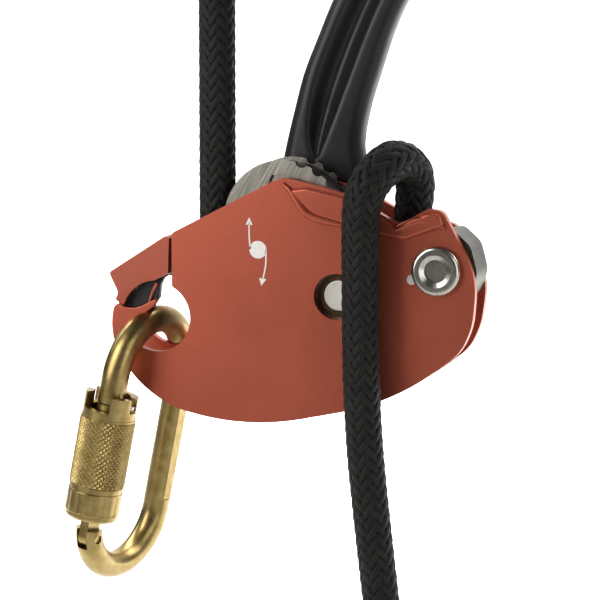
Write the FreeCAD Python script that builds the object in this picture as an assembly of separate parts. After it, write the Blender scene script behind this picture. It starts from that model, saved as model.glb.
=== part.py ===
import FreeCAD, Part
import math
import os

# A self-braking rope descender, rigged with its rope and a connector.
# Millimetres, +Z up. Everything is drawn from the bobbin's spindle: X to the right
# in the plane of the side plates, Y from the front plate's outer face to the rear.
# The pieces are then set down from the load rope's sewn eye, which is the origin.

V = FreeCAD.Vector

# Side plates and the channel between them
plate_thick = 3.0
channel_width = 16.0
turning_gap = 0.3
running_fit = 0.05
rear_face = plate_thick + channel_width
rear_outer = rear_face + plate_thick

# Rope
rope_d = 13.0
rope_r = rope_d / 2
rope_y = plate_thick + channel_width / 2
rope_gap = 0.3
load_x = -46.5

# Attachment hole, swing pivot and spindle
hole_x = -65.5
hole_z = -9.7
hole_r = 12.3
mouth_x = -59.9
hook_tip_x = -78.3
pivot_x = 35.7
pivot_z = 10.4
pivot_r = 4.0
pivot_head_r = 8.7
pivot_head_h = 2.5
pivot_cup_r = 4.0
spindle_r = 5.5
spindle_window_r = 8.0
spindle_front_y = plate_thick + turning_gap
bush_r = 7.6
thread_r = 4.0
washer_t = 1.2
nut_t = 4.5

# Catch over the mouth of the front hook
catch_pin_x = -75.8
catch_pin_z = 1.5
catch_pin_r = 1.5
catch_seam_r = 7.6
catch_gap = 0.35
catch_edge_x = mouth_x - 1.4
catch_blind = 1.2
ear_t = 2.0
ear_r = 5.5

# Bobbin
bobbin_flange_t = 1.9
bobbin_rim = 1.7
bobbin_swing_room = 1.8
lobe_x = -20.0
lobe_z = 24.8
lobe_r = 20.0
corner_r = 15.0
corner_z = -12.5
corner_left_x = load_x + rope_r + rope_gap + corner_r
corner_right_x = -1.0

# Friction block
block_screw_r = 2.0
screw_sink_r = 3.2
screw_sink_h = 1.6
screw_hex_r = 1.4
stop_pin_r = 1.7
stop_pin_x = 26.9
stop_pin_z = 7.0

# Handle
handle_gap = 1.2
hub_r = 15.0
hub_t = 9.0
handle_t = 13.0

# Connector
bar_r = 4.8
link_width = 40.0
link_length = 101.0
link_yaw = 74.0
link_tilt = 11.0
link_x = -68.0
link_z = -11.6
link_y = 8.6
sleeve_r = 9.4
sleeve_bore_r = 6.6
link_half = link_width / 2
link_low = 2 * bar_r + link_half - link_length
nose_z = -29.0
gate_top = nose_z - 0.4
hinge_x = -link_half + 0.6
hinge_z = link_low - 7.0
tang_t = 3.6
sleeve_top = -25.8
sleeve_low = link_low + 0.2
sleeve_ring_t = 4.0
ball_r = 1.6

# Sewn eye of the load rope
eye_z = 172.0
eye_x = load_x
eye_sleeve_low = 118.0
eye_sleeve_high = 150.0
eye_spread = 15.0

# Stopper knot at the brake end
knot_top = -117.0
knot_long = 34.0
knot_r = 14.5
tail_long = 20.0


def disc(x, z, radius, y_from, y_to):
    """A solid cylinder across the plates."""
    return Part.makeCylinder(radius, y_to - y_from, V(x, y_from, z), V(0, 1, 0))


def ring(x, z, outer, inner, y_from, y_to):
    """A cylinder across the plates with a bore."""
    return disc(x, z, outer, y_from, y_to).cut(disc(x, z, inner, y_from - 1, y_to + 1))


def rounded(corners, y):
    """A closed wire in the plates' plane: each corner is (x, z, radius)."""
    edges = []
    ends = []
    count = len(corners)
    for i in range(count):
        before = V(corners[i - 1][0], y, corners[i - 1][1])
        here = V(corners[i][0], y, corners[i][1])
        after = V(corners[(i + 1) % count][0], y, corners[(i + 1) % count][1])
        radius = corners[i][2]
        back = (before - here).normalize()
        on = (after - here).normalize()
        if radius <= 0:
            ends.append((here, here, None))
            continue
        half = back.getAngle(on) / 2
        reach = radius / math.tan(half)
        middle = (back + on).normalize() * (radius / math.sin(half) - radius)
        ends.append((here + back * reach, here + on * reach, here + middle))
    for i in range(count):
        start, end, middle = ends[i]
        if middle is not None:
            edges.append(Part.Arc(start, middle, end).toShape())
        following = ends[(i + 1) % count][0]
        if (following - end).Length > 1e-6:
            edges.append(Part.makeLine(end, following))
    return Part.Wire(Part.__sortEdges__(edges))


def slab(corners, y_from, y_to):
    """A rounded outline given thickness across the plates."""
    return Part.Face(rounded(corners, y_from)).extrude(V(0, y_to - y_from, 0))


def soften(shape, radius, faces_at):
    """Rounds the outer edges that lie flat in the planes y = faces_at."""
    edges = []
    for edge in shape.Edges:
        box = edge.BoundBox
        if box.YLength < 1e-6 and min(abs(box.YMin - y) for y in faces_at) < 1e-6:
            edges.append(edge)
    return shape.makeFillet(radius, edges)


def tube_route(points, radii):
    """The centre line of a cord: straight runs joined by tangent arcs."""
    edges = []
    start = points[0]
    for i in range(1, len(points) - 1):
        here = points[i]
        back = (points[i - 1] - here).normalize()
        on = (points[i + 1] - here).normalize()
        half = back.getAngle(on) / 2
        reach = radii[i - 1] / math.tan(half)
        first = here + back * reach
        last = here + on * reach
        middle = here + (back + on).normalize() * (radii[i - 1] / math.sin(half) - radii[i - 1])
        if (first - start).Length > 1e-6:
            edges.append(Part.makeLine(start, first))
        edges.append(Part.Arc(first, middle, last).toShape())
        start = last
    edges.append(Part.makeLine(start, points[-1]))
    return Part.Wire(edges)


def sweep(route, radius, start, direction):
    """A round bar or cord along a route."""
    section = Part.Wire(Part.makeCircle(radius, start, direction))
    return route.makePipeShell([section], True, False)


def plate_corners():
    """The side plates' shared outline, clockwise from the top of the mouth."""
    return [
        (mouth_x, 20.1, 1.8),
        (-19.5, 41.1, 12.0),
        (3.2, 36.0, 70.0),
        (22.5, 25.8, 5.0),
        (32.3, 31.5, 5.0),
        (37.6, 31.1, 3.5),
        (49.9, 9.0, 28.0),
        (48.4, -8.5, 25.0),
        (44.4, -17.6, 18.0),
        (20.5, -36.2, 90.0),
        (-32.0, -47.7, 92.0),
        (-69.2, -39.6, 40.0),
        (-83.6, -17.2, 22.0),
        (-81.4, -5.8, 2.5),
    ]


def hook_corners():
    """The front plate's outline: the shared one, left open above the hole."""
    return plate_corners() + [(-79.4, -5.5, 0.0), (mouth_x, -5.5, 0.0)]


def catch_room(margin, y_from, y_to):
    """The round end of the catch's face, about its pin."""
    return disc(catch_pin_x, catch_pin_z, catch_seam_r + margin, y_from, y_to)


def front_plate():
    plate = slab(hook_corners(), 0, plate_thick)
    plate = plate.cut(catch_room(catch_gap, -1, plate_thick + 1))
    plate = plate.cut(disc(hole_x, hole_z, hole_r, -1, plate_thick + 1))
    plate = plate.cut(slot_cut(-1, plate_thick + 1))
    plate = plate.cut(disc(0, 0, spindle_window_r, -1, plate_thick + 1))
    plate = plate.cut(disc(pivot_x, pivot_z, pivot_r + running_fit, -1, plate_thick + 1))
    plate = plate.cut(disc(stop_pin_x, stop_pin_z, stop_pin_r, -1, plate_thick + 1))
    return plate.fuse(rope_lip()).removeSplitter()


def slot_cut(y_from, y_to):
    """The hook's mouth, from the hole up past the plate's edge."""
    left = hook_tip_x
    wide = slab([(mouth_x, 30, 0), (mouth_x, 0.1, 4.0), (-50, -7.4, 0), (left, -7.4, 0), (left, 30, 0)], y_from, y_to)
    keep = slab([(mouth_x, 0.6, 0), (-50.0, 0.6, 0), (-50.0, -20.0, 0), (mouth_x, -20.0, 0)], y_from, y_to)
    return wide.cut(keep)


def rope_lip():
    """A pressed pad that carries the rope over the front plate's top edge."""
    proud = 1.5
    pad = slab(
        [
            (-17.2, 36.7, 1.0),
            (-10.6, 37.7, 4.0),
            (3.2, 35.0, 16.0),
            (22.5, 24.8, 5.0),
            (32.3, 30.5, 5.0),
            (37.0, 29.9, 2.5),
            (38.6, 26.0, 1.0),
            (24.0, 20.6, 6.0),
            (-8.5, 28.3, 12.0),
        ],
        -proud,
        0.5,
    )
    front = [e for e in pad.Edges if e.BoundBox.YLength < 1e-6 and abs(e.BoundBox.YMin + proud) < 1e-6]
    return pad.makeFillet(1.2, front)


def rear_corners():
    """The rear plate's outline: closed at the mouth, and cut lower behind the rope's lip."""
    return [
        (-19.5, 41.1, 12.0),
        (3.2, 36.0, 70.0),
        (21.5, 26.5, 12.0),
        (36.5, 24.8, 7.0),
        (45.0, 18.6, 12.0),
        (48.6, 2.5, 20.0),
        (47.0, -9.5, 25.0),
        (43.2, -18.4, 18.0),
        (20.5, -36.2, 90.0),
        (-32.0, -47.7, 92.0),
        (-69.2, -39.6, 40.0),
        (-83.6, -17.2, 22.0),
        (-82.8, -6.4, 8.0),
        (-78.6, 6.2, 5.0),
        (-61.5, 17.7, 8.0),
    ]


def rear_plate():
    plate = slab(rear_corners(), rear_face, rear_outer)
    plate = plate.cut(disc(hole_x, hole_z, hole_r, rear_face - 1, rear_outer + 1))
    plate = plate.cut(disc(0, 0, spindle_r + running_fit, rear_face - 1, rear_outer + 1))
    plate = plate.cut(disc(pivot_x, pivot_z, pivot_r, rear_face - 1, rear_outer + 1))
    plate = plate.cut(disc(catch_pin_x, catch_pin_z, catch_pin_r, rear_face - 1, rear_outer + 1))
    for x, z in block_screws():
        plate = plate.cut(disc(x, z, block_screw_r, rear_face - 1, rear_outer + 1))
    return plate


def block_screws():
    """Where the friction block is screwed to the rear plate."""
    return [(43.0, 2.6), (38.6, 18.2)]


def hull(circles, grow):
    """The convex outline round circles (x, z, r), listed anticlockwise, grown by a margin."""
    edges = []
    ends = []
    count = len(circles)
    for i in range(count):
        x0, z0, r0 = circles[i]
        x1, z1, r1 = circles[(i + 1) % count]
        along = math.atan2(z1 - z0, x1 - x0)
        lean = math.acos((r0 - r1) / math.hypot(x1 - x0, z1 - z0))
        ends.append(along - lean)
    for i in range(count):
        x, z, r = circles[i]
        start = ends[i - 1]
        end = ends[i]
        while end < start:
            end += 2 * math.pi
        reach = r + grow
        places = [V(x + reach * math.cos(a), 0, z + reach * math.sin(a)) for a in (start, (start + end) / 2, end)]
        edges.append(Part.Arc(*places).toShape())
    joined = []
    for i in range(count):
        joined.append(edges[i])
        following = edges[(i + 1) % count]
        joined.append(Part.makeLine(edges[i].Vertexes[-1].Point, following.Vertexes[0].Point))
    return Part.Face(Part.Wire(Part.__sortEdges__(joined)))


def bobbin():
    circles = [
        (lobe_x, lobe_z, lobe_r),
        (corner_left_x + bobbin_swing_room, corner_z, corner_r),
        (corner_right_x, corner_z, corner_r),
    ]
    front = plate_thick + turning_gap
    rear = rear_face - turning_gap
    body = hull(circles, 0).extrude(V(0, rear - front, 0))
    body.translate(V(0, front, 0))
    flange = hull(circles, bobbin_rim).extrude(V(0, bobbin_flange_t, 0))
    near = flange.copy()
    near.translate(V(0, front, 0))
    far = flange.copy()
    far.translate(V(0, rear - bobbin_flange_t, 0))
    body = body.fuse([near, far]).removeSplitter()
    for step in range(4):
        angle = math.radians(73 - 17 * step)
        reach = lobe_r + bobbin_rim + 0.8
        notch = disc(lobe_x + reach * math.cos(angle), lobe_z + reach * math.sin(angle), 2.3, 0, rear_face)
        body = body.cut(notch)
    pocket = disc(lobe_x, lobe_z, 16.9, front - 1, front + 1.2)
    side = slab([(-26.5, 6, 0), (-26.5, 36, 0), (-22.0, 46, 0), (20, 46, 0), (20, 6, 0)], front - 1, front + 1.2)
    body = body.cut(pocket.common(side))
    return body.cut(disc(0, 0, bush_r, 0, rear_face))



def bobbin_bush():
    return ring(0, 0, bush_r, spindle_r + running_fit, plate_thick + turning_gap, rear_face - turning_gap)


def spindle():
    handle_front = rear_outer + handle_gap
    end = handle_front + hub_t + 0.2
    shaft = disc(0, 0, spindle_r, spindle_front_y, end)
    thread = disc(0, 0, thread_r, end, end + washer_t + nut_t + 1.0)
    shaft = shaft.fuse(thread).removeSplitter()
    front = [e for e in shaft.Edges if abs(e.BoundBox.YMax - spindle_front_y) < 1e-6]
    return shaft.makeFillet(0.6, front)


def spindle_y(part_from_hub):
    """A place along the spindle, counted from the hub's rear face."""
    return rear_outer + handle_gap + hub_t + 0.2 + part_from_hub


def spindle_washer():
    return ring(0, 0, 9.5, thread_r, spindle_y(0), spindle_y(washer_t))


def spindle_nut():
    flats = 6
    size = 7.6
    y = spindle_y(washer_t)
    corners = []
    for i in range(flats):
        angle = 2 * math.pi * i / flats
        corners.append((size * math.cos(angle), size * math.sin(angle), 0.6))
    return slab(corners, y, y + nut_t).cut(disc(0, 0, thread_r, y - 1, y + nut_t + 1))


def friction_block():
    corners = [
        (29.9, -2.3, 2.5),
        (31.5, 22.5, 3.0),
        (40.5, 24.4, 4.0),
        (46.8, 18.9, 7.0),
        (49.4, 9.0, 9.0),
        (46.5, 1.0, 5.0),
        (42.0, -1.5, 4.0),
    ]
    block = slab(corners, plate_thick + turning_gap, rear_face)
    block = block.cut(disc(pivot_x, pivot_z, pivot_r, 0, rear_face + 1))
    for x, z in block_screws():
        block = block.cut(disc(x, z, block_screw_r, rear_face - 9, rear_face + 1))
    return block


def block_screw(x, z):
    """A countersunk screw through the rear plate into the friction block."""
    shank = disc(x, z, block_screw_r, rear_face - 8, rear_outer)
    corners = [(x + screw_hex_r * math.cos(a), z + screw_hex_r * math.sin(a), 0) for a in hex_angles()]
    socket = slab(corners, rear_outer - screw_sink_h, rear_outer)
    return shank.fuse(sink_cut(x, z)).removeSplitter().cut(socket)


def hex_angles():
    return [math.pi * i / 3 for i in range(6)]


def sink_cut(x, z):
    """The countersunk head of a block screw."""
    return Part.makeCone(block_screw_r, screw_sink_r, screw_sink_h, V(x, rear_outer - screw_sink_h, z), V(0, 1, 0))


def pivot_sink():
    return Part.makeCone(pivot_r, pivot_r + 1.0, 1.0, V(pivot_x, rear_outer - 1.0, pivot_z), V(0, 1, 0))


def pivot_rivet():
    """The swing pivot: a domed cup head in front, flared flush behind."""
    head = disc(pivot_x, pivot_z, pivot_head_r, -pivot_head_h, -0.1)
    rim = [e for e in head.Edges if abs(e.BoundBox.YMax + pivot_head_h) < 1e-6]
    head = head.makeFillet(1.7, rim)
    head = head.cut(Part.makeCone(5.6, pivot_cup_r, 0.9, V(pivot_x, -pivot_head_h, pivot_z), V(0, 1, 0)))
    head = head.cut(disc(pivot_x, pivot_z, pivot_cup_r, -pivot_head_h - 1, -0.7))
    shank = disc(pivot_x, pivot_z, pivot_r, -0.5, rear_outer)
    return head.fuse([shank, pivot_sink()]).removeSplitter()


def stop_pin():
    """A small dowel, flush in the front plate beside the pivot."""
    return disc(stop_pin_x, stop_pin_z, stop_pin_r, 0, plate_thick)


def catch_pin():
    """The catch's pin, pressed into the rear plate and blind in the catch's face."""
    return disc(catch_pin_x, catch_pin_z, catch_pin_r, catch_blind, rear_outer)



def catch_corners():
    """The catch's face: top edge, thumb notch on the left, round end by the hook."""
    return [
        (catch_edge_x + 0.4, 19.9, 1.2),
        (-83.3, 5.4, 1.2),
        (-79.9, -1.7, 2.5),
        (-81.4, -4.9, 0.0),
        (-78.0, -8.2, 0.0),
        (-71.4, -8.2, 0.0),
        (-71.4, 0.5, 7.0),
        (catch_edge_x, 5.9, 0.0),
    ]


def catch():
    """A folded lever: a face in the hook's mouth, a web over its top and a rear ear."""
    ear_to = rear_face - turning_gap
    ear_from = ear_to - ear_t
    face = slab(catch_corners(), 0, plate_thick)
    skirt = Part.makeBox(40, plate_thick, 40, V(-100, 0, catch_pin_z - 0.5 - 40))
    face = face.cut(skirt.cut(catch_room(0, -1, plate_thick + 1)))
    face = face.cut(disc(hole_x, hole_z, hole_r + 0.6, -1, plate_thick + 1))
    web = slab(
        [
            (catch_edge_x + 0.4, 19.9, 1.2),
            (-83.3, 5.4, 1.2),
            (-82.3, 3.1, 0.5),
            (catch_edge_x + 0.4, 16.9, 0.5),
        ],
        plate_thick,
        ear_to,
    )
    ear = slab(
        [
            (catch_edge_x + 0.4, 18.1, 1.0),
            (-82.6, 4.2, 1.0),
            (-79.5, -2.0, 3.0),
            (-73.5, -2.0, 4.0),
            (catch_edge_x + 0.4, 12.5, 1.0),
        ],
        ear_from,
        ear_to,
    )
    eye = disc(catch_pin_x, catch_pin_z, ear_r - 1.5, ear_from, ear_to)
    body = face.fuse([web, ear, eye]).removeSplitter()
    return body.cut(disc(catch_pin_x, catch_pin_z, catch_pin_r + running_fit, catch_blind, ear_to + 1))


def catch_spring():
    """The torsion spring round the catch's pin, between its face and its ear."""
    start = plate_thick + 0.2
    end = rear_face - turning_gap - ear_t - 0.2
    return ring(catch_pin_x, catch_pin_z, catch_pin_r + 1.1, catch_pin_r + 0.3, start, end)


def handle():
    """A curved lever behind the rear plate: hub, blade and a scooped front."""
    near = rear_outer + handle_gap
    blade = slab(
        [
            (-29.6, 32.8, 12.0),
            (-26.2, 50.9, 60.0),
            (-20.0, 75.2, 80.0),
            (-9.0, 101.6, 60.0),
            (6.5, 129.0, 12.0),
            (30.5, 140.2, 8.0),
            (28.5, 119.2, 30.0),
            (13.5, 92.6, 60.0),
            (4.5, 66.0, 80.0),
            (0.5, 48.0, 30.0),
            (10.0, 26.0, 20.0),
            (14.0, 4.0, 6.0),
            (-6.0, -10.0, 6.0),
        ],
        near,
        near + handle_t,
    )
    blade = soften(blade, 3.0, [near + handle_t])
    hub = disc(0, 0, hub_r, near, near + hub_t)
    body = blade.fuse(hub).removeSplitter()
    scoop = slab(
        [
            (-12.6, 47.0, 2.0),
            (-20.4, 68.0, 30.0),
            (-14.5, 88.0, 60.0),
            (3.0, 122.0, 8.0),
            (14.0, 126.0, 3.0),
            (5.0, 100.0, 50.0),
            (-3.5, 70.0, 30.0),
        ],
        near - 1,
        near + 4.0,
    )
    body = body.cut(scoop)
    body = body.cut(disc(0, 0, 10.5, near + hub_t, near + handle_t + 1))
    return body.cut(disc(0, 0, spindle_r + running_fit, near - 1, near + handle_t + 1))


def handle_spring():
    """The flat return spring, wound round the spindle between plate and handle."""
    return ring(0, 0, 8.0, spindle_r + 0.3, rear_outer + 0.15, rear_outer + handle_gap - 0.15)


def link_place(shape):
    """Turns and hangs a piece of the connector in the attachment hole."""
    shape.rotate(V(0, 0, 0), V(0, 0, 1), link_yaw)
    shape.rotate(V(0, 0, 0), V(0, 1, 0), link_tilt)
    shape.translate(V(link_x, link_y, link_z))
    return shape



def link_body():
    """The bent bar, with a nose above and a forked end below."""
    nose = V(-link_half, 0, nose_z)
    top_left = V(-link_half, 0, -link_half)
    top = V(0, 0, 0)
    top_right = V(link_half, 0, -link_half)
    low_right = V(link_half, 0, link_low)
    low = V(0, 0, link_low - link_half)
    low_left = V(-link_half, 0, link_low)
    route = Part.Wire(
        [
            Part.makeLine(nose, top_left),
            Part.Arc(top_left, top, top_right).toShape(),
            Part.makeLine(top_right, low_right),
            Part.Arc(low_right, low, low_left).toShape(),
        ]
    )
    bar = sweep(route, bar_r, nose, V(0, 0, 1))
    bar = bar.cut(Part.makeBox(30, 30, 30, V(-link_half - 15, -15, link_low - 4.2)))
    fork = Part.makeBox(16, tang_t + 0.6, 30, V(-link_half - 9, -tang_t / 2 - 0.3, hinge_z - 4.4))
    bar = bar.cut(fork)
    flat = Part.makeBox(20, 30, 44, V(link_half + bar_r - 0.5, -15, link_low + 3.0))
    bar = bar.cut(flat)
    for side in (-1, 1):
        face = Part.makeBox(30, 20, 44, V(0, 0, link_low + 3.0))
        face.translate(V(0, bar_r - 0.5 if side > 0 else -20 - bar_r + 0.5, 0))
        bar = bar.cut(face)
    return bar.cut(Part.makeCylinder(1.6, 30, V(hinge_x, -15, hinge_z), V(0, 1, 0)))


def gate():
    """The gate: a round bar with a flat tang in the body's fork."""
    bar = Part.makeCylinder(bar_r, gate_top - (link_low - 0.4), V(-link_half, 0, link_low - 0.4), V(0, 0, 1))
    tang = Part.makeBox(7.0, tang_t, link_low - 0.4 - hinge_z, V(hinge_x - 3.5, -tang_t / 2, hinge_z))
    eye = Part.makeCylinder(3.5, tang_t, V(hinge_x, -tang_t / 2, hinge_z), V(0, 1, 0))
    body = bar.fuse([tang, eye]).removeSplitter()
    return body.cut(Part.makeCylinder(1.6 + running_fit, 20, V(hinge_x, -10, hinge_z), V(0, 1, 0)))


def gate_rivet():
    return Part.makeCylinder(1.6, 2 * bar_r - 1.4, V(hinge_x, -bar_r + 0.7, hinge_z), V(0, 1, 0))



def lock_sleeve():
    """The twist sleeve: a tube open above for the nose, stepped in below on the gate."""
    length = sleeve_top - sleeve_low
    body = Part.makeCylinder(sleeve_r, length, V(-link_half, 0, sleeve_low), V(0, 0, 1))
    low_end = [e for e in body.Edges if e.BoundBox.ZMax < sleeve_low + 1e-6]
    body = body.makeFillet(1.4, low_end)
    bore = Part.makeCylinder(sleeve_bore_r, length, V(-link_half, 0, sleeve_low + sleeve_ring_t), V(0, 0, 1))
    body = body.cut(bore)
    body = body.cut(Part.makeCylinder(bar_r + running_fit, length, V(-link_half, 0, sleeve_low - 1), V(0, 0, 1)))
    wide = 2 * bar_r + 1.0
    window = Part.makeBox(15, wide, 12, V(-link_half - 15, -wide / 2, nose_z - 2.5))
    body = body.cut(window)
    for side in (-1, 1):
        slot = Part.makeBox(3.8, 10, 6.0, V(-link_half - 1.1, 0, sleeve_top - 5.0))
        slot.translate(V(0, 0 if side > 0 else -10, 0))
        slot.translate(V(0, side * 5.0, 0))
        body = body.cut(slot)
    return body


def sleeve_spring():
    """The coil spring inside the sleeve, round the gate, as a tube."""
    outer = Part.makeCylinder(sleeve_bore_r - 0.3, 22, V(-link_half, 0, sleeve_low + sleeve_ring_t + 0.2), V(0, 0, 1))
    return outer.cut(Part.makeCylinder(bar_r + 0.3, 24, V(-link_half, 0, sleeve_low + sleeve_ring_t - 1), V(0, 0, 1)))



def lock_ball():
    """The sleeve's locking ball, in its slot beside the nose."""
    return Part.makeSphere(ball_r, V(-link_half + 0.8, -sleeve_bore_r - 1.0, sleeve_top - 3.0))



def rope_points():
    """The rope's corners, from the sewn eye down, round the bobbin and over the lip."""
    return [
        V(load_x, rope_y, eye_sleeve_low),
        V(load_x, rope_y, -21.5),
        V(-33.7, rope_y, -34.3),
        V(-13.0, rope_y, -35.4),
        V(7.5, rope_y, -34.3),
        V(20.0, rope_y, -22.8),
        V(25.3, rope_y + 0.8, 42.0),
        V(21.3, 5.3, 49.5),
        V(15.7, -3.7, 49.4),
        V(11.7, -10.2, 41.6),
        V(11.0, -8.5, 14.0),
        V(11.6, -8.5, -40.0),
        V(16.4, -8.6, -84.0),
        V(20.6, -8.8, knot_top),
    ]


def rope_radii(points):
    """Corner radii, as large as the runs allow."""
    radii = []
    for i in range(1, len(points) - 1):
        back = points[i - 1] - points[i]
        on = points[i + 1] - points[i]
        half = back.getAngle(on) / 2
        radii.append(0.45 * min(back.Length, on.Length) * math.tan(half))
    return radii


def rope_line():
    points = rope_points()
    radii = rope_radii(points)
    route = tube_route(points, radii)
    cord = sweep(route, rope_r, points[0], V(0, 0, -1))
    print("rope radii", [round(r, 1) for r in radii], "length", round(route.Length, 1),
          "volume ratio", round(cord.Volume / (route.Length * math.pi * rope_r**2), 4), cord.isValid())
    return cord


def rope_eye():
    """The sewn loop, from one side of its cover round to the other."""
    half = eye_spread
    points = [
        V(load_x - rope_r - 0.2, rope_y, eye_sleeve_high),
        V(load_x - rope_r - 0.2, rope_y, eye_sleeve_high + 7),
        V(load_x - half - 2, rope_y, eye_z - 4),
        V(load_x - half, rope_y, eye_z + 20),
        V(load_x + half, rope_y, eye_z + 20),
        V(load_x + half + 2, rope_y, eye_z - 4),
        V(load_x + rope_r + 0.2, rope_y, eye_sleeve_high + 7),
        V(load_x + rope_r + 0.2, rope_y, eye_sleeve_high),
    ]
    radii = []
    for i in range(1, len(points) - 1):
        back = points[i - 1] - points[i]
        on = points[i + 1] - points[i]
        radii.append(0.45 * min(back.Length, on.Length) * math.tan(back.getAngle(on) / 2))
    route = tube_route(points, radii)
    cord = sweep(route, rope_r, points[0], points[1] - points[0])
    print("eye radii", [round(r, 1) for r in radii], "length", round(route.Length, 1), cord.isValid())
    return cord


def eye_cover():
    """The shrunk cover over the eye's stitching."""
    half = rope_r + 0.2
    corners = [
        (load_x - half - rope_r - 1.4, eye_sleeve_low, 3.0),
        (load_x - half - rope_r - 1.4, eye_sleeve_high, 3.0),
        (load_x + half + rope_r + 1.4, eye_sleeve_high, 3.0),
        (load_x + half + rope_r + 1.4, eye_sleeve_low, 3.0),
    ]
    cover = slab(corners, rope_y - rope_r - 1.4, rope_y + rope_r + 1.4)
    return cover


def knot_axis():
    """The rope's direction and place where the stopper knot is tied."""
    points = rope_points()
    return points[-1], (points[-1] - points[-2]).normalize()


def stopper_knot():
    place, along = knot_axis()
    knot = Part.makeCylinder(knot_r, knot_long, place, along)
    return knot.makeFillet(6.0, [e for e in knot.Edges if len(e.Vertexes) == 1])


def rope_tail():
    place, along = knot_axis()
    start = place + along * knot_long
    return Part.makeCylinder(rope_r, tail_long, start, along)


def sewn_eye():
    """The origin: the middle of the load rope's eye."""
    return V(eye_x, rope_y, eye_z)


def save(node, shape):
    if shape.ShapeType == "Compound" and len(shape.Solids) == 1:
        shape = shape.Solids[0]
    shape.translate(sewn_eye() * -1)
    print(node, shape.ShapeType, len(shape.Solids), shape.isValid(), round(shape.Volume, 1))
    shape.exportStep("parts/" + node + ".step")


def main():
    os.makedirs("parts", exist_ok=True)
    save("front_plate", front_plate())
    rear = rear_plate()
    for x, z in block_screws():
        rear = rear.cut(sink_cut(x, z))
    save("rear_plate", rear.cut(pivot_sink()))
    save("pivot_rivet", pivot_rivet())
    save("stop_pin", stop_pin())
    save("spindle", spindle())
    save("spindle_washer", spindle_washer())
    save("spindle_nut", spindle_nut())
    save("bobbin", bobbin())
    save("bobbin_bush", bobbin_bush())
    save("friction_block", friction_block())
    for number, (x, z) in enumerate(block_screws(), 1):
        save("block_screw_" + str(number), block_screw(x, z))
    save("catch", catch())
    save("catch_pin", catch_pin())
    save("catch_spring", catch_spring())
    save("handle", handle())
    save("handle_spring", handle_spring())
    save("link_body", link_place(link_body()))
    save("gate", link_place(gate()))
    save("gate_rivet", link_place(gate_rivet()))
    save("lock_sleeve", link_place(lock_sleeve()))
    save("sleeve_spring", link_place(sleeve_spring()))
    save("lock_ball", link_place(lock_ball()))
    save("rope_line", rope_line())
    save("rope_eye", rope_eye())
    save("eye_cover", eye_cover())
    save("stopper_knot", stopper_knot())
    save("rope_tail", rope_tail())


main()
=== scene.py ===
import math
import bpy
import bmesh
from mathutils import Vector, Matrix


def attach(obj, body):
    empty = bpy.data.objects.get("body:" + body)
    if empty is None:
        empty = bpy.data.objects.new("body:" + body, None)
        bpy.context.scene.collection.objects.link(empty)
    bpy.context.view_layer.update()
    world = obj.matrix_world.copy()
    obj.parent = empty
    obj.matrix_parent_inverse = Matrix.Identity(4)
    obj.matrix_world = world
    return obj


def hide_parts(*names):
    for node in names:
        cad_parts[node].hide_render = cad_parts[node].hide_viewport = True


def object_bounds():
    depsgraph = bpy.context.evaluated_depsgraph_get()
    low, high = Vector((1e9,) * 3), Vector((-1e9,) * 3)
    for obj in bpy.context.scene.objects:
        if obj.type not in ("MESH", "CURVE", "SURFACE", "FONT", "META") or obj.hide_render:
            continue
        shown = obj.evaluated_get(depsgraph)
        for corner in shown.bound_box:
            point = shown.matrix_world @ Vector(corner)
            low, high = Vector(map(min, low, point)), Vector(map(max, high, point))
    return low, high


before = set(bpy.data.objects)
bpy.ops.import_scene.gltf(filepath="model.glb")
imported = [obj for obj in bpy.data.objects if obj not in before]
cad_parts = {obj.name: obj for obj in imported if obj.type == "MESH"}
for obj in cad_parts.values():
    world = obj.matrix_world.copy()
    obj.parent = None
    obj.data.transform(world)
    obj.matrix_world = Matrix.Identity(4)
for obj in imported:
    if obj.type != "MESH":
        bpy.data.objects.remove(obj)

cad_low, cad_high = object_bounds()

# The drawing is made from the bobbin's spindle, in millimetres: X right, Y to the rear, Z up.
SPINDLE = Vector((46.5, -11.0, -172.0))


def at(x, y, z):
    """A place from the spindle, in millimetres, to the frame's metres."""
    return (Vector((x, y, z)) + SPINDLE) * 0.001


# Camera

AZIMUTH = math.radians(17.0)
ELEVATION = math.radians(8.0)
DISTANCE = 1.103
FOCAL_LENGTH = 192.0
SENSOR_WIDTH = 36.0
AIM_LEFT = 0.0124
AIM_LOW = 0.00103


def set_camera():
    """A long lens from the photograph's viewing angle, aimed a little beside the spindle."""
    right = Vector((math.cos(AZIMUTH), math.sin(AZIMUTH), 0))
    level = math.cos(ELEVATION)
    ahead = Vector((-math.sin(AZIMUTH) * level, math.cos(AZIMUTH) * level, -math.sin(ELEVATION)))
    up = right.cross(ahead)
    target = at(0, 0, 0) - right * AIM_LEFT - up * AIM_LOW
    camera = bpy.data.objects.new("camera", bpy.data.cameras.new("camera"))
    bpy.context.scene.collection.objects.link(camera)
    camera.data.lens = FOCAL_LENGTH
    camera.data.sensor_width = SENSOR_WIDTH
    camera.data.clip_start = 0.05
    camera.data.clip_end = 20.0
    turn = Matrix((right, up, -ahead)).transposed()
    camera.matrix_world = Matrix.Translation(target - ahead * DISTANCE) @ turn.to_4x4()
    bpy.context.scene.camera = camera


set_camera()


# Materials

def material(name):
    """A new node material: its nodes, links and main shader."""
    made = bpy.data.materials.new(name)
    made.use_nodes = True
    nodes = made.node_tree.nodes
    shader = nodes.get("Principled BSDF")
    return made, nodes, made.node_tree.links, shader


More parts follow.
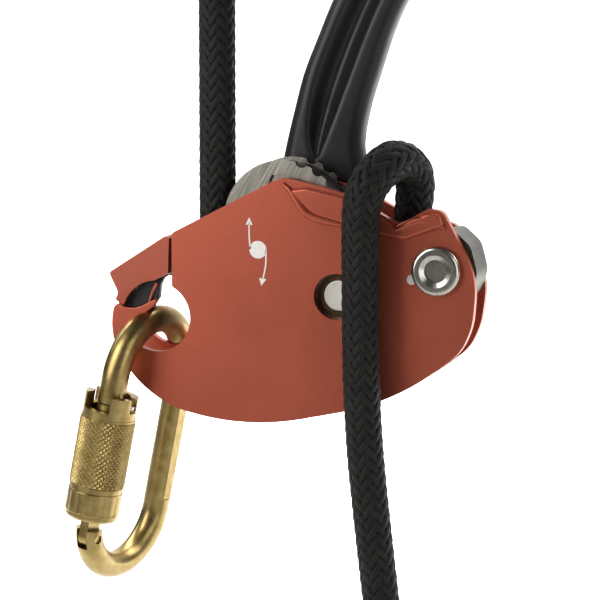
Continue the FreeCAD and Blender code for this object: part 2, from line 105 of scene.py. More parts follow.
def place(nodes, links, stretch=(1, 1, 1), turned=(0, 0, 0)):
    """The piece's own coordinates, turned and stretched."""
    source = nodes.new("ShaderNodeTexCoord")
    turning = nodes.new("ShaderNodeMapping")
    turning.inputs["Rotation"].default_value = turned
    links.new(source.outputs["Object"], turning.inputs["Vector"])
    mapping = nodes.new("ShaderNodeMapping")
    mapping.inputs["Scale"].default_value = stretch
    links.new(turning.outputs["Vector"], mapping.inputs["Vector"])
    return mapping.outputs["Vector"]


def noise(nodes, links, where, scale, detail=4.0, rough=0.55):
    """A noise value from 0 to 1."""
    made = nodes.new("ShaderNodeTexNoise")
    made.inputs["Scale"].default_value = scale
    made.inputs["Detail"].default_value = detail
    made.inputs["Roughness"].default_value = rough
    links.new(where, made.inputs["Vector"])
    return made.outputs["Fac"]


def spread(nodes, links, value, low, high, start=0.3, end=0.7):
    """A noise value mapped to a range."""
    made = nodes.new("ShaderNodeMapRange")
    made.inputs["From Min"].default_value = start
    made.inputs["From Max"].default_value = end
    made.inputs["To Min"].default_value = low
    made.inputs["To Max"].default_value = high
    links.new(value, made.inputs["Value"])
    return made.outputs["Result"]


def two_colours(nodes, links, value, dark, light, start=0.35, end=0.65):
    """A colour that changes with a noise value."""
    ramp = nodes.new("ShaderNodeValToRGB")
    ramp.color_ramp.elements[0].position = start
    ramp.color_ramp.elements[0].color = (*dark, 1)
    ramp.color_ramp.elements[1].position = end
    ramp.color_ramp.elements[1].color = (*light, 1)
    links.new(value, ramp.inputs["Fac"])
    return ramp.outputs["Color"]


def bump(nodes, links, shader, height, strength, distance=0.0002):
    """Small relief."""
    made = nodes.new("ShaderNodeBump")
    made.inputs["Strength"].default_value = strength
    made.inputs["Distance"].default_value = distance
    links.new(height, made.inputs["Height"])
    links.new(made.outputs["Normal"], shader.inputs["Normal"])


def grained(name, dark, light, rough, grain, stretch=(1, 1, 1), turned=(0, 0, 0),
            strength=0.15, metallic=1.0, gloss=0.5):
    """A finish with a fine grain, brushed where the grain is stretched."""
    made, nodes, links, shader = material(name)
    shader.inputs["Metallic"].default_value = metallic
    shader.inputs["Specular IOR Level"].default_value = gloss
    where = place(nodes, links, stretch, turned)
    fine = noise(nodes, links, where, grain, 6.0, 0.6)
    wide = noise(nodes, links, place(nodes, links), 45.0, 3.0)
    links.new(two_colours(nodes, links, fine, dark, light), shader.inputs["Base Color"])
    links.new(spread(nodes, links, wide, rough[0], rough[1]), shader.inputs["Roughness"])
    bump(nodes, links, shader, fine, strength)
    return made


def anodised(name, dark, light):
    """Satin anodised aluminium."""
    return grained(name, dark, light, (0.38, 0.46), 2600.0, strength=0.05, metallic=0.8)


def matt_black(name, dark, light, rough, grain, strength, gloss):
    """Painted or plastic black, without a metal's shine."""
    return grained(name, dark, light, rough, grain, strength=strength, metallic=0.0, gloss=gloss)


# Painted shade for the bobbin's teeth and rims, which face away from the axis.
PAINTED_RIM_SHADE = (0.030, 0.028, 0.024)


def bobbin_material():
    """Brushed flanges, and painted shade on the teeth and rims, which face away from the axis."""
    made = grained("brushed_steel", (0.20, 0.19, 0.16), (0.40, 0.38, 0.33), (0.30, 0.40), 1500.0,
                   stretch=(1.0, 0.05, 0.04), turned=(0, math.radians(-30), 0), strength=0.25)
    nodes, links = made.node_tree.nodes, made.node_tree.links
    shader = nodes.get("Principled BSDF")
    flange = shader.inputs["Base Color"].links[0].from_socket
    source = nodes.new("ShaderNodeTexCoord")
    parts = nodes.new("ShaderNodeSeparateXYZ")
    links.new(source.outputs["Normal"], parts.inputs["Vector"])
    facing = nodes.new("ShaderNodeMath")
    facing.operation = "ABSOLUTE"
    links.new(parts.outputs["Y"], facing.inputs[0])
    share = spread(nodes, links, facing.outputs["Value"], 0.0, 1.0, 0.80, 0.95)
    # Faces that do not face along the axis take the painted shade.
    blend = nodes.new("ShaderNodeMix")
    blend.data_type = "RGBA"
    blend.inputs["A"].default_value = (*PAINTED_RIM_SHADE, 1)
    links.new(share, blend.inputs["Factor"])
    links.new(flange, blend.inputs["B"])
    links.new(blend.outputs["Result"], shader.inputs["Base Color"])
    return made


def rope_material():
    """Black polyamide yarn: a fine relief, a faint change of tone and a slight sheen."""
    made, nodes, links, shader = material("black_rope")
    where = place(nodes, links)
    fine = noise(nodes, links, where, 2200.0, 5.0)
    wide = noise(nodes, links, where, 260.0, 3.0)
    colour = two_colours(nodes, links, wide, (0.0055, 0.0055, 0.0045), (0.011, 0.011, 0.009))
    links.new(colour, shader.inputs["Base Color"])
    shader.inputs["Roughness"].default_value = 0.62
    shader.inputs["Specular IOR Level"].default_value = 0.22
    bump(nodes, links, shader, fine, 0.35, 0.0002)
    return made


red = anodised("red_anodised", (0.40, 0.088, 0.050), (0.45, 0.105, 0.060))
# The catch's red is the plates' red made darker: painted shade.
catch_red = anodised("catch_red", (0.35, 0.086, 0.053), (0.40, 0.102, 0.063))
polished = grained("polished_steel", (0.46, 0.44, 0.39), (0.56, 0.54, 0.48), (0.20, 0.30), 900.0,
                   strength=0.05)
brushed = bobbin_material()
cast = grained("cast_steel", (0.075, 0.072, 0.060), (0.115, 0.11, 0.092), (0.42, 0.55), 700.0, strength=0.3)
# The bush's bronze is darkened almost to black: painted shadow round the spindle.
bronze = grained("bronze", (0.07, 0.045, 0.025), (0.11, 0.07, 0.035), (0.35, 0.45), 1200.0)
turned_steel = grained("turned_steel", (0.70, 0.68, 0.61), (0.80, 0.78, 0.71), (0.36, 0.44), 900.0,
                       strength=0.04, metallic=0.55)
spring = grained("spring_steel", (0.25, 0.25, 0.25), (0.35, 0.35, 0.35), (0.35, 0.45), 1200.0)
zinc = grained("yellow_zinc", (0.29, 0.205, 0.072), (0.41, 0.31, 0.125), (0.28, 0.42), 260.0, strength=0.08)
black_paint = matt_black("handle_black", (0.009, 0.008, 0.0075), (0.014, 0.0125, 0.0115), (0.36, 0.46),
                         2400.0, 0.12, 0.35)
cover_black = matt_black("black_cover", (0.014, 0.014, 0.014), (0.022, 0.022, 0.022), (0.5, 0.6),
                         500.0, 0.1, 0.3)
print_white = grained("plate_print", (0.72, 0.69, 0.64), (0.80, 0.77, 0.72), (0.5, 0.6), 900.0,
                      strength=0.02, metallic=0.0)
rope_black = rope_material()

FINISH = {
    "front_plate": red, "rear_plate": red, "catch": catch_red,
    "pivot_rivet": polished, "stop_pin": turned_steel, "catch_pin": polished,
    "spindle": turned_steel, "spindle_washer": polished, "spindle_nut": polished,
    "block_screw_1": polished, "block_screw_2": polished,
    "bobbin": brushed, "bobbin_bush": bronze, "friction_block": cast,
    "catch_spring": spring, "handle_spring": spring, "sleeve_spring": spring,
    "handle": black_paint,
    "link_body": zinc, "gate": zinc, "gate_rivet": zinc, "lock_sleeve": zinc, "lock_ball": polished,
    "rope_line": rope_black, "rope_eye": rope_black, "rope_tail": rope_black, "stopper_knot": rope_black,
    "eye_cover": cover_black,
}
for node, finish in FINISH.items():
    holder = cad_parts[node]
    for entry in holder.material_slots:
        entry.link = "OBJECT"
        entry.material = finish


# Mesh helpers

def piece(name, verts, faces, finish, smooth=True):
    """A mesh object from points and faces."""
    mesh = bpy.data.meshes.new(name)
    mesh.from_pydata([tuple(v) for v in verts], [], faces)
    mesh.update()
    made = bpy.data.objects.new(name, mesh)
    bpy.context.scene.collection.objects.link(made)
    mesh.materials.append(finish)
    if smooth:
        mesh.polygons.foreach_set("use_smooth", [True] * len(mesh.polygons))
    tidy = bmesh.new()
    tidy.from_mesh(mesh)
    bmesh.ops.recalc_face_normals(tidy, faces=tidy.faces)
    tidy.to_mesh(mesh)
    tidy.free()
    return made


def circle(count):
    """Cosine and sine of even steps round a circle."""
    return [(math.cos(a), math.sin(a)) for a in (2 * math.pi * k / count for k in range(count))]


def rings_to_mesh(rings, verts, faces):
    """Joins rings of points into a closed tube and adds it to the lists."""
    start = len(verts)
    size = len(rings[0])
    for ring in rings:
        verts.extend(ring)
    for i in range(len(rings) - 1):
        for j in range(size):
            a = start + i * size + j
            b = start + i * size + (j + 1) % size
            faces.append((a, b, b + size, a + size))
    faces.append(tuple(start + j for j in reversed(range(size))))
    last = start + (len(rings) - 1) * size
    faces.append(tuple(last + j for j in range(size)))


def tube(name, rings, finish):
    """An object of one closed tube."""
    verts, faces = [], []
    rings_to_mesh(rings, verts, faces)
    return piece(name, verts, faces, finish)


# Cords

def spline_points(name, points):
    """The smooth line that a cord follows, read from a NURBS spline."""
    data = bpy.data.curves.new(name, "CURVE")
    data.dimensions = "3D"
    data.resolution_u = 24
    spline = data.splines.new("NURBS")
    spline.points.add(len(points) - 1)
    for entry, point in zip(spline.points, points):
        entry.co = (*point, 1.0)
    spline.order_u = 3
    spline.use_endpoint_u = True
    holder = bpy.data.objects.new(name, data)
    bpy.context.scene.collection.objects.link(holder)
    bpy.context.view_layer.update()
    read = bpy.data.meshes.new_from_object(holder.evaluated_get(bpy.context.evaluated_depsgraph_get()))
    line = [v.co.copy() for v in read.vertices]
    bpy.data.objects.remove(holder)
    bpy.data.curves.remove(data)
    bpy.data.meshes.remove(read)
    return line


class Route:
    """A line with its length and a frame that does not twist."""

    def __init__(self, line):
        self.points = [line[0]]
        for point in line[1:]:
            if (point - self.points[-1]).length > 0.00005:
                self.points.append(point)
        self.along = [0.0]
        for i in range(1, len(self.points)):
            self.along.append(self.along[-1] + (self.points[i] - self.points[i - 1]).length)
        self.length = self.along[-1]
        count = len(self.points)
        self.tangents = []
        for i in range(count):
            before = self.points[max(i - 1, 0)]
            after = self.points[min(i + 1, count - 1)]
            self.tangents.append((after - before).normalized())
        side = self.tangents[0].orthogonal().normalized()
        self.sides = [side]
        for i in range(1, count):
            turned = self.tangents[i - 1].rotation_difference(self.tangents[i])
            side = turned @ side
            side = (side - self.tangents[i] * side.dot(self.tangents[i])).normalized()
            self.sides.append(side)

    def frame(self, s):
        """Place, direction and two sides at a distance along the line."""
        s = min(max(s, 0.0), self.length)
        low, high = 0, len(self.along) - 1
        while high - low > 1:
            mid = (low + high) // 2
            if self.along[mid] <= s:
                low = mid
            else:
                high = mid
        share = (s - self.along[low]) / (self.along[high] - self.along[low])
        place_here = self.points[low].lerp(self.points[high], share)
        tangent = self.tangents[low].lerp(self.tangents[high], share).normalized()
        side = self.sides[low].lerp(self.sides[high], share)
        side = (side - tangent * side.dot(tangent)).normalized()
        return place_here, tangent, side, tangent.cross(side)


ROPE_R = 0.0065
CARRIERS = 12
LEAD = 0.052
STRAND_W = 0.00130
STRAND_T = 0.00064
STRAND_GAP = 0.00022
MEAN_R = ROPE_R - STRAND_T - STRAND_GAP
SWING = 0.00024
CORE_GAP = 0.0003
CORE_STEP = 0.0025
STRAND_STEPS = 46
SWELL = 0.15
SWELL_REACH = 0.014


def braid_core(route, size_at):
    """Rings of the core, a little inside the strands."""
    steps = max(int(route.length / CORE_STEP), 2)
    rings = []
    for i in range(steps + 1):
        here, tangent, side, other = route.frame(route.length * i / steps)
        shrink = size_at(here)
        rings.append([here + (side * c + other * s) * (MEAN_R - CORE_GAP) * shrink for c, s in circle(16)])
    return rings


def braid_strand(route, size_at, hand, carrier):
    """Rings of one strand, which passes over two strands of the other hand and under two."""
    steps = max(int(route.length / (LEAD / STRAND_STEPS)), 4)
    rings = []
    for i in range(steps + 1):
        along = route.length * i / steps
        here, tangent, side, other = route.frame(along)
        shrink = size_at(here)
        angle = hand * 2 * math.pi * along / LEAD + 2 * math.pi * carrier / CARRIERS
        crossing = 2 * carrier + hand * 2 * CARRIERS * along / LEAD
        lift = hand * math.sin(math.pi * (crossing + 0.5) / 2.0)
        out = side * math.cos(angle) + other * math.sin(angle)
        round_way = other * math.cos(angle) - side * math.sin(angle)
        reach = (MEAN_R + SWING * max(-1.0, min(1.0, 1.5 * lift))) * shrink
        heading = (tangent + round_way * (hand * 2 * math.pi * reach / LEAD)).normalized()
        across = heading.cross(out).normalized()
        centre = here + out * reach
        rings.append([centre + across * (STRAND_W * shrink * c) + out * (STRAND_T * shrink * s)
                      for c, s in circle(8)])
    return rings


def braid(name, route, radius=ROPE_R, swell=None):
    """A braided sheath over a core: strands wound both ways.

    swell is a place that the sheath bulges round, as where the rope bends over an edge.
    """
    def size_at(here):
        bulge = SWELL * math.exp(-((here - swell).length / SWELL_REACH) ** 2) if swell else 0.0
        return radius / ROPE_R * (1 + bulge)

    verts, faces = [], []
    rings_to_mesh(braid_core(route, size_at), verts, faces)
    for hand in (1, -1):
        for carrier in range(CARRIERS):
            rings_to_mesh(braid_strand(route, size_at, hand, carrier), verts, faces)
    return piece(name, verts, faces, rope_black)


rope_control = [
    at(-46.5, 11.0, 118.0),
    at(-46.5, 11.0, -3.4),
    at(-46.5, 11.0, -21.5),
    at(-33.7, 11.0, -34.3),
    at(-13.0, 11.0, -35.4),
    at(7.5, 11.0, -34.3),
    at(20.0, 11.0, -22.8),
    at(21.4, 11.2, -5.9),
    at(24.5, 11.7, 31.3),
    at(25.3, 11.8, 42.0),
    at(22.0, 4.8, 47.8),
    at(18.4, -4.2, 47.0),
    at(13.6, -10.3, 39.6),
    at(11.4, -9.5, 30.8),
    at(11.0, -8.5, 14.0),
    at(11.6, -8.5, -40.0),
    at(16.4, -8.6, -84.0),
    at(20.6, -8.8, -117.0),
]
eye_control = [
    at(-53.2, 11.0, 150.0),
    at(-53.2, 11.0, 157.0),
    at(-63.5, 11.0, 168.0),
    at(-61.5, 11.0, 192.0),
    at(-31.5, 11.0, 192.0),
    at(-29.5, 11.0, 168.0),
    at(-39.8, 11.0, 157.0),
    at(-39.8, 11.0, 150.0),
]
rope_route = Route(spline_points("rope_path", rope_control))
eye_route = Route(spline_points("eye_path", eye_control))
ARCH_CENTRE = at(19.0, 0.0, 42.0)
rope = braid("rope_sheath", rope_route, swell=ARCH_CENTRE)
eye_loop = braid("eye_loop", eye_route)


COVER_LOW, COVER_HIGH = 118.0, 150.0
COVER_HALF_WIDTH = 14.4
COVER_HALF_DEPTH = 7.8
COVER_X, COVER_Y = -46.5, 11.0
COVER_STEPS = 36


def cover_ring(t):
    """The cover's section at a share of its height: squarish, with a dip between the two ropes."""
    z = COVER_LOW + (COVER_HIGH - COVER_LOW) * t
    end = min(t, 1 - t) * COVER_STEPS
    shrink = 1.0 - 0.10 * max(0.0, 1.0 - end / 3.0) ** 2
    waist = 1.0 - 0.02 * math.sin(t * math.pi * 7) ** 2
    ring = []
    for c, s in circle(48):
        x = COVER_HALF_WIDTH * math.copysign(abs(c) ** 0.62, c)
        dip = 1.0 - 0.16 * math.exp(-(x / 3.2) ** 2)
        y = COVER_HALF_DEPTH * math.copysign(abs(s) ** 0.8, s) * dip
        ring.append(at(COVER_X + x * shrink * waist, COVER_Y + y * shrink * waist, z))
    return ring


cover = tube("shrunk_cover", [cover_ring(i / COVER_STEPS) for i in range(COVER_STEPS + 1)], cover_black)

KNOT_TURNS = 3.0
KNOT_STRAND = 0.0056
KNOT_COIL = 0.0106
KNOT_TOP = 0.0064
KNOT_PITCH = 0.00896
KNOT_STEPS = 150
KNOT_TUCK = 0.06
HEART_FROM, HEART_TO = -0.002, 0.036
TAIL_FROM, TAIL_TO = 0.034, 0.054


def knot_coil(here, tangent, side, other):
    """The line of the rope turned round itself, tucked in at both ends."""
    points = []
    for i in range(KNOT_STEPS + 1):
        t = i / KNOT_STEPS
        angle = 2 * math.pi * t * KNOT_TURNS
        ease = min(1.0, t / KNOT_TUCK, (1 - t) / KNOT_TUCK)
        reach = KNOT_COIL * (0.35 + 0.65 * math.sin(0.5 * math.pi * ease))
        down = KNOT_TOP + KNOT_PITCH * t * KNOT_TURNS
        points.append(here + tangent * down + (side * math.cos(angle) + other * math.sin(angle)) * reach)
    return points


rope_end, below, side, other = rope_route.frame(rope_route.length)
wraps = braid("knot_wraps", Route(knot_coil(rope_end, below, side, other)), radius=KNOT_STRAND)
heart_line = [rope_end + below * HEART_FROM, rope_end + below * HEART_TO]
heart = braid("knot_heart", Route(heart_line), radius=KNOT_STRAND)
tail = braid("tail_sheath", Route([rope_end + below * TAIL_FROM, rope_end + below * TAIL_TO]))

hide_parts("rope_line")
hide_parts("rope_eye")
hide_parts("eye_cover")
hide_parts("stopper_knot")
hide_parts("rope_tail")
for made in (rope, eye_loop, cover, wraps, heart, tail):
    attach(made, "chassis")


# Handle

def between(table, z):
    """A smooth value from a table of (height, value)."""
    if z <= table[0][0]:
        return table[0][1]
    if z >= table[-1][0]:
        return table[-1][1]
    for i in range(len(table) - 1):
        z0, v0 = table[i]
        z1, v1 = table[i + 1]
        if z0 <= z <= z1:
            t = (z - z0) / (z1 - z0)
            before = table[i - 1] if i > 0 else (2 * z0 - z1, v0)
            after = table[i + 2] if i + 2 < len(table) else (2 * z1 - z0, v1)
            m0 = (v1 - before[1]) / (z1 - before[0]) * (z1 - z0)
            m1 = (after[1] - v0) / (after[0] - z0) * (z1 - z0)
            return ((2 * t**3 - 3 * t**2 + 1) * v0 + (t**3 - 2 * t**2 + t) * m0
                    + (3 * t**2 - 2 * t**3) * v1 + (t**3 - t**2) * m1)
    return table[-1][1]


# Station, then x and z of the left edge and of the right edge, before the lean.
BLADE_EDGES = [
    (-9.5, -5.0, -9.5, 4.0, -6.6),
    (0.0, -11.5, -1.0, 12.2, 0.0),
    (12.0, -19.0, 13.0, 12.0, 12.0),
    (24.0, -25.6, 26.0, 9.6, 25.5),
    (34.0, -28.4, 35.5, 6.2, 33.6),
    (42.0, -28.2, 42.0, 3.4, 41.0),
    (52.0, -26.2, 52.0, 1.8, 50.5),
    (64.0, -23.2, 64.0, 4.1, 63.5),
    (76.0, -19.9, 76.0, 8.0, 76.0),
    (89.0, -14.6, 89.0, 12.8, 90.2),
    (102.0, -9.0, 102.0, 18.6, 102.4),
    (115.5, -1.4, 115.5, 26.6, 115.2),
    (125.0, 4.6, 125.2, 28.8, 122.0),
    (132.0, 11.5, 130.8, 29.4, 128.5),
    (137.5, 22.5, 135.4, 29.6, 134.2),
]
SCOOP_MIDDLE = [(45.0, 0.44), (55.0, 0.43), (65.0, 0.43), (79.0, 0.445), (100.0, 0.46), (125.0, 0.48)]
SCOOP_HALF = [(45.0, 0.0), (49.0, 0.07), (55.0, 0.145), (65.0, 0.215), (79.0, 0.245),
              (100.0, 0.245), (114.0, 0.2), (122.0, 0.1), (126.0, 0.0)]
SCOOP_DEEP = [(44.0, 0.0), (48.0, 2.0), (54.0, 4.0), (64.0, 5.2), (110.0, 5.2), (120.0, 3.5), (126.0, 0.0)]
LEAN = 0.041
BLADE_NEAR = 23.3
BLADE_THICK = 12.8
BLADE_LOW = -9.5
BLADE_HIGH = 137.5
TIP_START = 128.0
FRONT_ROUND = 4.5
BACK_ROUND = 5.0
STATIONS = 120
FRONT_STEPS = 64
BACK_STEPS = 20
HUB_PROFILE = ((23.3, 13.6), (24.2, 14.8), (31.0, 14.8), (32.1, 13.8))


def rounding(edge, radius):
    """How far a rounded edge falls back at a distance from the edge."""
    if edge >= radius:
        return 0.0
    return radius - math.sqrt(max(0.0, radius**2 - (radius - edge) ** 2))


def blade_depths(z, width):
    """The blade's section: shares of its width, each with a depth, along the front and back again."""
    middle = between(SCOOP_MIDDLE, z)
    half = max(between(SCOOP_HALF, z), 0.0)
    deep = max(between(SCOOP_DEEP, z), 0.0)
    depths = []
    for k in range(FRONT_STEPS + 1):
        u = k / FRONT_STEPS
        fall = rounding(min(u, 1 - u) * width, FRONT_ROUND)
        from_middle = abs(u - middle) / half if half > 0 else 1.0
        scoop = deep * (0.5 + 0.5 * math.cos(math.pi * from_middle)) ** 0.75 if from_middle < 1 else 0.0
        crown = 0.5 * (2 * u - 1) ** 2
        depths.append((u, BLADE_NEAR + fall + scoop + crown))
    for k in range(BACK_STEPS + 1):
        u = 1 - k / BACK_STEPS
        fall = rounding(min(u, 1 - u) * width, BACK_ROUND)
        depths.append((u, BLADE_NEAR + BLADE_THICK - fall))
    return depths


def blade_ring(z):
    """Points round the blade at a station."""
    lx, lz, rx, rz = (between([(row[0], row[k]) for row in BLADE_EDGES], z) for k in (1, 2, 3, 4))
    lz = lz + LEAN * lx
    rz = rz + LEAN * rx
    top = max(0.0, (z - TIP_START) / (BLADE_HIGH - TIP_START))
    squeeze = math.sqrt(max(0.02, 1.0 - 0.9 * top**2))
    middle_y = BLADE_NEAR + BLADE_THICK / 2
    return [at(lx + (rx - lx) * u, middle_y + (y - middle_y) * squeeze, lz + (rz - lz) * u)
            for u, y in blade_depths(z, math.hypot(rx - lx, rz - lz))]


def round_rings(x, z, profile):
    """Rings across the plates: profile is (depth, radius)."""
    return [[at(x + r * c, y, z + r * s) for c, s in circle(64)] for y, r in profile]


def merge(first, second):
    """Second is joined to first as one smooth casting."""
    union = first.modifiers.new("join", "BOOLEAN")
    union.operation = "UNION"
    union.solver = "EXACT"
    union.object = second
    apply_modifiers(first)
    bpy.data.objects.remove(second)


def apply_modifiers(made):
    """Bakes an object's modifiers into its mesh."""
    bpy.context.view_layer.update()
    baked = bpy.data.meshes.new_from_object(made.evaluated_get(bpy.context.evaluated_depsgraph_get()))
    old = made.data
    made.modifiers.clear()
    made.data = baked
    bpy.data.meshes.remove(old)


def drill(made, radius, y_from, y_to):
    """Cuts a round hole along the spindle."""
    tool = tube("tool", round_rings(0, 0, ((y_from, radius), (y_to, radius))), black_paint)
    cut = made.modifiers.new("drill", "BOOLEAN")
    cut.operation = "DIFFERENCE"
    cut.solver = "EXACT"
    cut.object = tool
    apply_modifiers(made)
    bpy.data.objects.remove(tool)


NUT_RECESS = 10.5
SPINDLE_HOLE = 5.55
VOXEL = 0.0007


def melted_handle():
    """The handle as one casting: blade and hub joined, drilled and melted into each other."""
    heights = [BLADE_LOW + (BLADE_HIGH - BLADE_LOW) * i / STATIONS for i in range(STATIONS + 1)]
    lever = tube("handle_lever", [blade_ring(z) for z in heights], black_paint)
    merge(lever, tube("handle_hub", round_rings(0, 0, HUB_PROFILE), black_paint))
    drill(lever, NUT_RECESS, 32.0, 40.0)
    drill(lever, SPINDLE_HOLE, 20.0, 40.0)
    melt = lever.modifiers.new("melt", "REMESH")
    melt.mode = "VOXEL"
    melt.voxel_size = VOXEL
    soft = lever.modifiers.new("soft", "SMOOTH")
    soft.factor = 0.5
    soft.iterations = 6
    apply_modifiers(lever)
    lever.data.polygons.foreach_set("use_smooth", [True] * len(lever.data.polygons))
    if not lever.data.materials:
        lever.data.materials.append(black_paint)
    return lever


lever = melted_handle()
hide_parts("handle")
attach(lever, "release_handle")


# Connector's sleeve

YAW = math.radians(74.0)
TILT = math.radians(11.0)
LINK = (-68.0, 8.6, -11.6)
SLEEVE_AXIS = -20.0


def on_link(x, y, z):
    """A place from the connector's own axes, in millimetres, to the frame's metres."""
    x, y = x * math.cos(YAW) - y * math.sin(YAW), x * math.sin(YAW) + y * math.cos(YAW)
    x, z = x * math.cos(TILT) + z * math.sin(TILT), -x * math.sin(TILT) + z * math.cos(TILT)
    return at(x + LINK[0], y + LINK[1], z + LINK[2])


def turned_band(name, profile, around, relief):
    """A band round the sleeve: profile is (height, radius), relief adds to the radius."""
    verts, faces = [], []
    for z, radius in profile:
        for k in range(around):
            angle = 2 * math.pi * k / around
            reach = radius + relief(angle, z)
            verts.append(on_link(SLEEVE_AXIS + reach * math.cos(angle), reach * math.sin(angle), z))
    for i in range(len(profile) - 1):
        for k in range(around):
            a = i * around + k
            b = i * around + (k + 1) % around
            faces.append((a, b, b + around, a + around))
    return piece(name, verts, faces, zinc, smooth=False)


KNURL_TOP, KNURL_LOW = -34.6, -58.6
KNURL_COUNT = 32
KNURL_PITCH = 1.85
KNURL_DEEP = 0.46
KNURL_R = 9.43
RIM_R = 9.62
SLEEVE_R = 9.3
RIM_PROFILE = [(1.0, SLEEVE_R), (0.9, RIM_R), (0.2, RIM_R)]
KNURL_ROWS = 96
FLATS = 12
FLAT_DEEP = 0.30
FLAT_TOP, FLAT_LOW = -61.2, -68.4
FOOT_R = 9.72


def diamond(angle, z):
    """Pointed diamonds cut by two crossing sets of grooves."""
    if z > KNURL_TOP - 0.2 or z < KNURL_LOW + 0.2:
        return 0.0
    first = angle * KNURL_COUNT / (2 * math.pi) + z / KNURL_PITCH
    second = angle * KNURL_COUNT / (2 * math.pi) - z / KNURL_PITCH
    heights = [1.0 - abs(2 * (v - math.floor(v)) - 1.0) for v in (first, second)]
    return KNURL_DEEP * min(1.0, 1.35 * min(heights))


def knurled_sleeve():
    """The knurled band between two plain rims."""
    high = KNURL_TOP - KNURL_LOW
    upper_rim = [(KNURL_TOP + up, radius) for up, radius in RIM_PROFILE]
    rows = [(KNURL_TOP - high * i / KNURL_ROWS, KNURL_R) for i in range(1, KNURL_ROWS)]
    lower_rim = [(KNURL_LOW - up, radius) for up, radius in RIM_PROFILE[::-1]]
    profile = upper_rim + [(KNURL_TOP, KNURL_R)] + rows + [(KNURL_LOW, KNURL_R)] + lower_rim
    return turned_band("knurled_band", profile, 320, diamond)


def flats(angle, z):
    """Shallow flats round the foot."""
    if not FLAT_LOW < z < FLAT_TOP:
        return 0.0
    step = 2 * math.pi / FLATS
    off = (angle % step) - step / 2
    return -FLAT_DEEP * (1.0 - math.cos(off)) / (1.0 - math.cos(step / 2))


def flatted_foot():
    """The band below the knurling, with shallow flats round it."""
    profile = [(-60.6, SLEEVE_R), (-60.8, 9.66), (FLAT_TOP, FOOT_R), (-61.3, FOOT_R), (-64.8, FOOT_R),
               (-68.3, FOOT_R), (FLAT_LOW, FOOT_R), (-69.0, 9.66), (-69.3, SLEEVE_R)]
    return turned_band("sleeve_foot", profile, 240, flats)


for made in (knurled_sleeve(), flatted_foot()):
    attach(made, "twist_sleeve")


# Painted shade inside the catch, as a black sheet, and the marks on the front plate

def slab(name, outline, y_from, y_to, finish):
    """A flat outline given thickness across the plates."""
    verts = [at(x, y, z) for y in (y_from, y_to) for x, z in outline]
    count = len(outline)
    faces = [tuple(range(count)), tuple(reversed(range(count, 2 * count)))]
    faces += [(k, (k + 1) % count, count + (k + 1) % count, count + k) for k in range(count)]
    return piece(name, verts, faces, finish, smooth=False)


# Outline of the black sheet of painted shade inside the catch.
SHADE_SHEET_OUTLINE = [(-61.0, 7.8), (-61.7, 5.4), (-64.2, 3.5), (-65.5, 1.0), (-65.9, -3.5), (-67.1, -5.0),
         (-68.2, -7.1), (-70.7, -8.9), (-74.0, -11.5), (-79.7, -13.8), (-81.2, -4.8), (-78.3, 5.7),
         (-70.0, 12.3)]
BEAK = [(-80.5, -6.1), (-76.5, -6.8), (-74.0, -6.9), (-71.5, -6.2), (-68.2, -4.5), (-66.2, -3.5),
        (-65.3, -4.1), (-67.0, -6.2), (-69.1, -7.9), (-71.5, -10.2), (-73.6, -13.1), (-75.5, -16.3),
        (-78.7, -17.5), (-80.9, -13.1)]
INNER_STRIP = [(-66.8, 2.4), (-65.9, 1.6), (-67.6, -1.4), (-69.0, -5.7), (-70.1, -5.9), (-69.2, -2.9),
               (-67.9, 0.3)]
EDGE_ROUND = 0.0003


def softened(made):
    """Small rounded edges."""
    edge = made.modifiers.new("edge", "BEVEL")
    edge.width = EDGE_ROUND
    edge.segments = 3
    edge.limit_method = "ANGLE"
    return made


# A black sheet stands in for the shade inside the catch: painted shade, not a part.
shade_sheet = softened(slab("catch_shade_sheet", SHADE_SHEET_OUTLINE, 3.3, 6.2, cover_black))
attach(shade_sheet, "catch_lever")
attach(softened(slab("catch_inner_strip", INNER_STRIP, 2.6, 3.5, catch_red)), "catch_lever")
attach(softened(slab("hook_beak", BEAK, -0.03, 2.4, red)), "swing_plate")

LIP_LEFT = [(-19.1, 38.6), (-16.6, 36.9), (-14.1, 32.9), (-11.2, 28.8), (-5.8, 26.6), (3.2, 25.2)]
LIP_RIGHT = [(15.9, 22.6), (20.2, 23.5), (24.2, 25.4), (28.9, 27.7), (33.2, 27.5), (38.6, 25.3)]
RIDGE_R = 0.0015
RIDGE_Y = -0.25
RIDGE_STEPS = 60


def ridge(name, line):
    """A soft ridge pressed into the plate along a line, fading out at both ends."""
    route = Route(spline_points(name, [at(x, RIDGE_Y, z) for x, z in line]))
    rings = []
    for i in range(RIDGE_STEPS + 1):
        share = i / RIDGE_STEPS
        here, tangent, side, other = route.frame(route.length * i / RIDGE_STEPS)
        size = RIDGE_R * math.sin(math.pi * min(max(share, 0.04), 0.96)) ** 0.35
        rings.append([here + (side * c + other * s) * size for c, s in circle(20)])
    return tube(name, rings, red)


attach(ridge("lip_ridge_left", LIP_LEFT), "swing_plate")
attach(ridge("lip_ridge_right", LIP_RIGHT), "swing_plate")

MARK_FROM, MARK_TO = -0.05, 0.02
MARK_LINE = 0.5
DISC_X, DISC_Z, DISC_R = -28.2, 15.4, 3.1
DISC_STEPS = 30
STRANDS = {
    "mark_load_strand": [(-31.4, 24.5), (-31.4, 20.0), (-31.0, 15.6)],
    "mark_brake_strand": [(-25.2, 15.6), (-25.4, 10.0), (-26.4, 5.2)],
}
DISC = [(DISC_X + DISC_R * math.cos(a), DISC_Z + DISC_R * math.sin(a))
        for a in (math.radians(345 * i / DISC_STEPS) for i in range(DISC_STEPS + 1))]
SHAPES = {
    "mark_disc": DISC,
    "mark_arrow_up": [(-32.7, 24.0), (-30.1, 24.0), (-31.4, 26.6)],
    "mark_arrow_down": [(-27.8, 5.6), (-25.2, 5.2), (-27.0, 2.8)],
}


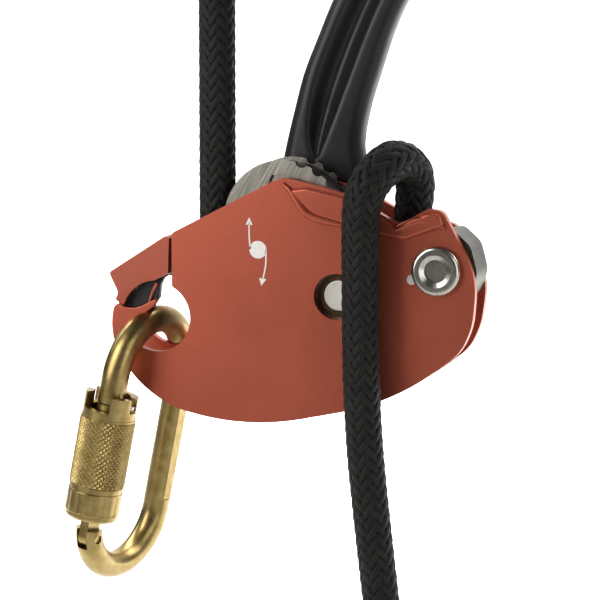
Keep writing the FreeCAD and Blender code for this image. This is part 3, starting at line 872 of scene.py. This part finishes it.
def ribbon(line):
    """The outline of a line of even width along points on the plate."""
    above, below = [], []
    for i, (x, z) in enumerate(line):
        x0, z0 = line[max(i - 1, 0)]
        x1, z1 = line[min(i + 1, len(line) - 1)]
        size = math.hypot(x1 - x0, z1 - z0)
        nx, nz = -(z1 - z0) / size, (x1 - x0) / size
        above.append((x + nx * MARK_LINE / 2, z + nz * MARK_LINE / 2))
        below.append((x - nx * MARK_LINE / 2, z - nz * MARK_LINE / 2))
    return above + below[::-1]


# Plain marks for the rope's way round the bobbin: two strands, a disc and arrowheads.
for name, outline in {**{key: ribbon(line) for key, line in STRANDS.items()}, **SHAPES}.items():
    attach(slab(name, outline, MARK_FROM, MARK_TO, print_white), "swing_plate")


# Floor, backdrop and light

FLOOR_GAP = 0.004
BEND_START = 1.9
BEND_R = 0.9
HALF_WIDTH = 2.6
BEND_STEPS = 16


def stage_set(finish):
    """A plain pale floor that curves up behind."""
    low = cad_low[2] - FLOOR_GAP
    bend = (math.pi / 2 * k / BEND_STEPS for k in range(BEND_STEPS + 1))
    profile = [(-1.6, low)]
    profile += [(BEND_START + BEND_R * math.sin(a), low + BEND_R - BEND_R * math.cos(a)) for a in bend]
    profile.append((BEND_START + BEND_R, 3.2))
    verts = [Vector((x, y, z)) for y, z in profile for x in (-HALF_WIDTH, HALF_WIDTH)]
    faces = [(a, a + 1, a + 3, a + 2) for a in range(0, 2 * len(profile) - 2, 2)]
    return piece("floor", verts, faces, finish)


def pale_finish():
    """Matt pale grey."""
    made, _, _, shader = material("pale_floor")
    shader.inputs["Base Color"].default_value = (0.94, 0.94, 0.94, 1)
    shader.inputs["Roughness"].default_value = 0.9
    return made


stage_set(pale_finish())

# Name, place, the place that it points at, size and power.
LIGHTS = [
    ("key", (-300, -330, 190), (0, 0, 0), (0.30, 0.42), 2.1),
    ("fill", (430, -330, 90), (0, 0, 0), (0.25, 0.5), 0.85),
    ("backdrop_near", (0, 260, 420), (0, 900, -170), (1.6, 0.5), 24),
    ("backdrop_far", (0, 700, 900), (0, 2300, 200), (2.4, 0.8), 80),
]
AMBIENT = 0.065
PALE_BACKGROUND = 0.9


def soft_box(name, lamp_at, aim, size, power):
    """A large soft light."""
    data = bpy.data.lights.new(name, "AREA")
    data.shape = "RECTANGLE"
    data.size, data.size_y = size
    data.energy = power
    lamp = bpy.data.objects.new(name, data)
    lamp.location = at(*lamp_at)
    lamp.rotation_euler = (at(*aim) - at(*lamp_at)).to_track_quat("-Z", "Y").to_euler()
    bpy.context.scene.collection.objects.link(lamp)


def surroundings():
    """Weak light from all round, against a pale background."""
    world = bpy.data.worlds.new("studio")
    world.use_nodes = True
    nodes, links = world.node_tree.nodes, world.node_tree.links
    backdrop = nodes["Background"]
    backdrop.inputs["Color"].default_value = (1.0, 1.0, 1.0, 1)
    rays = nodes.new("ShaderNodeLightPath")
    strength = spread(nodes, links, rays.outputs["Is Camera Ray"], AMBIENT, PALE_BACKGROUND, 0.0, 1.0)
    links.new(strength, backdrop.inputs["Strength"])
    bpy.context.scene.world = world


for light in LIGHTS:
    soft_box(*light)
surroundings()
bpy.context.scene.view_settings.view_transform = "Standard"
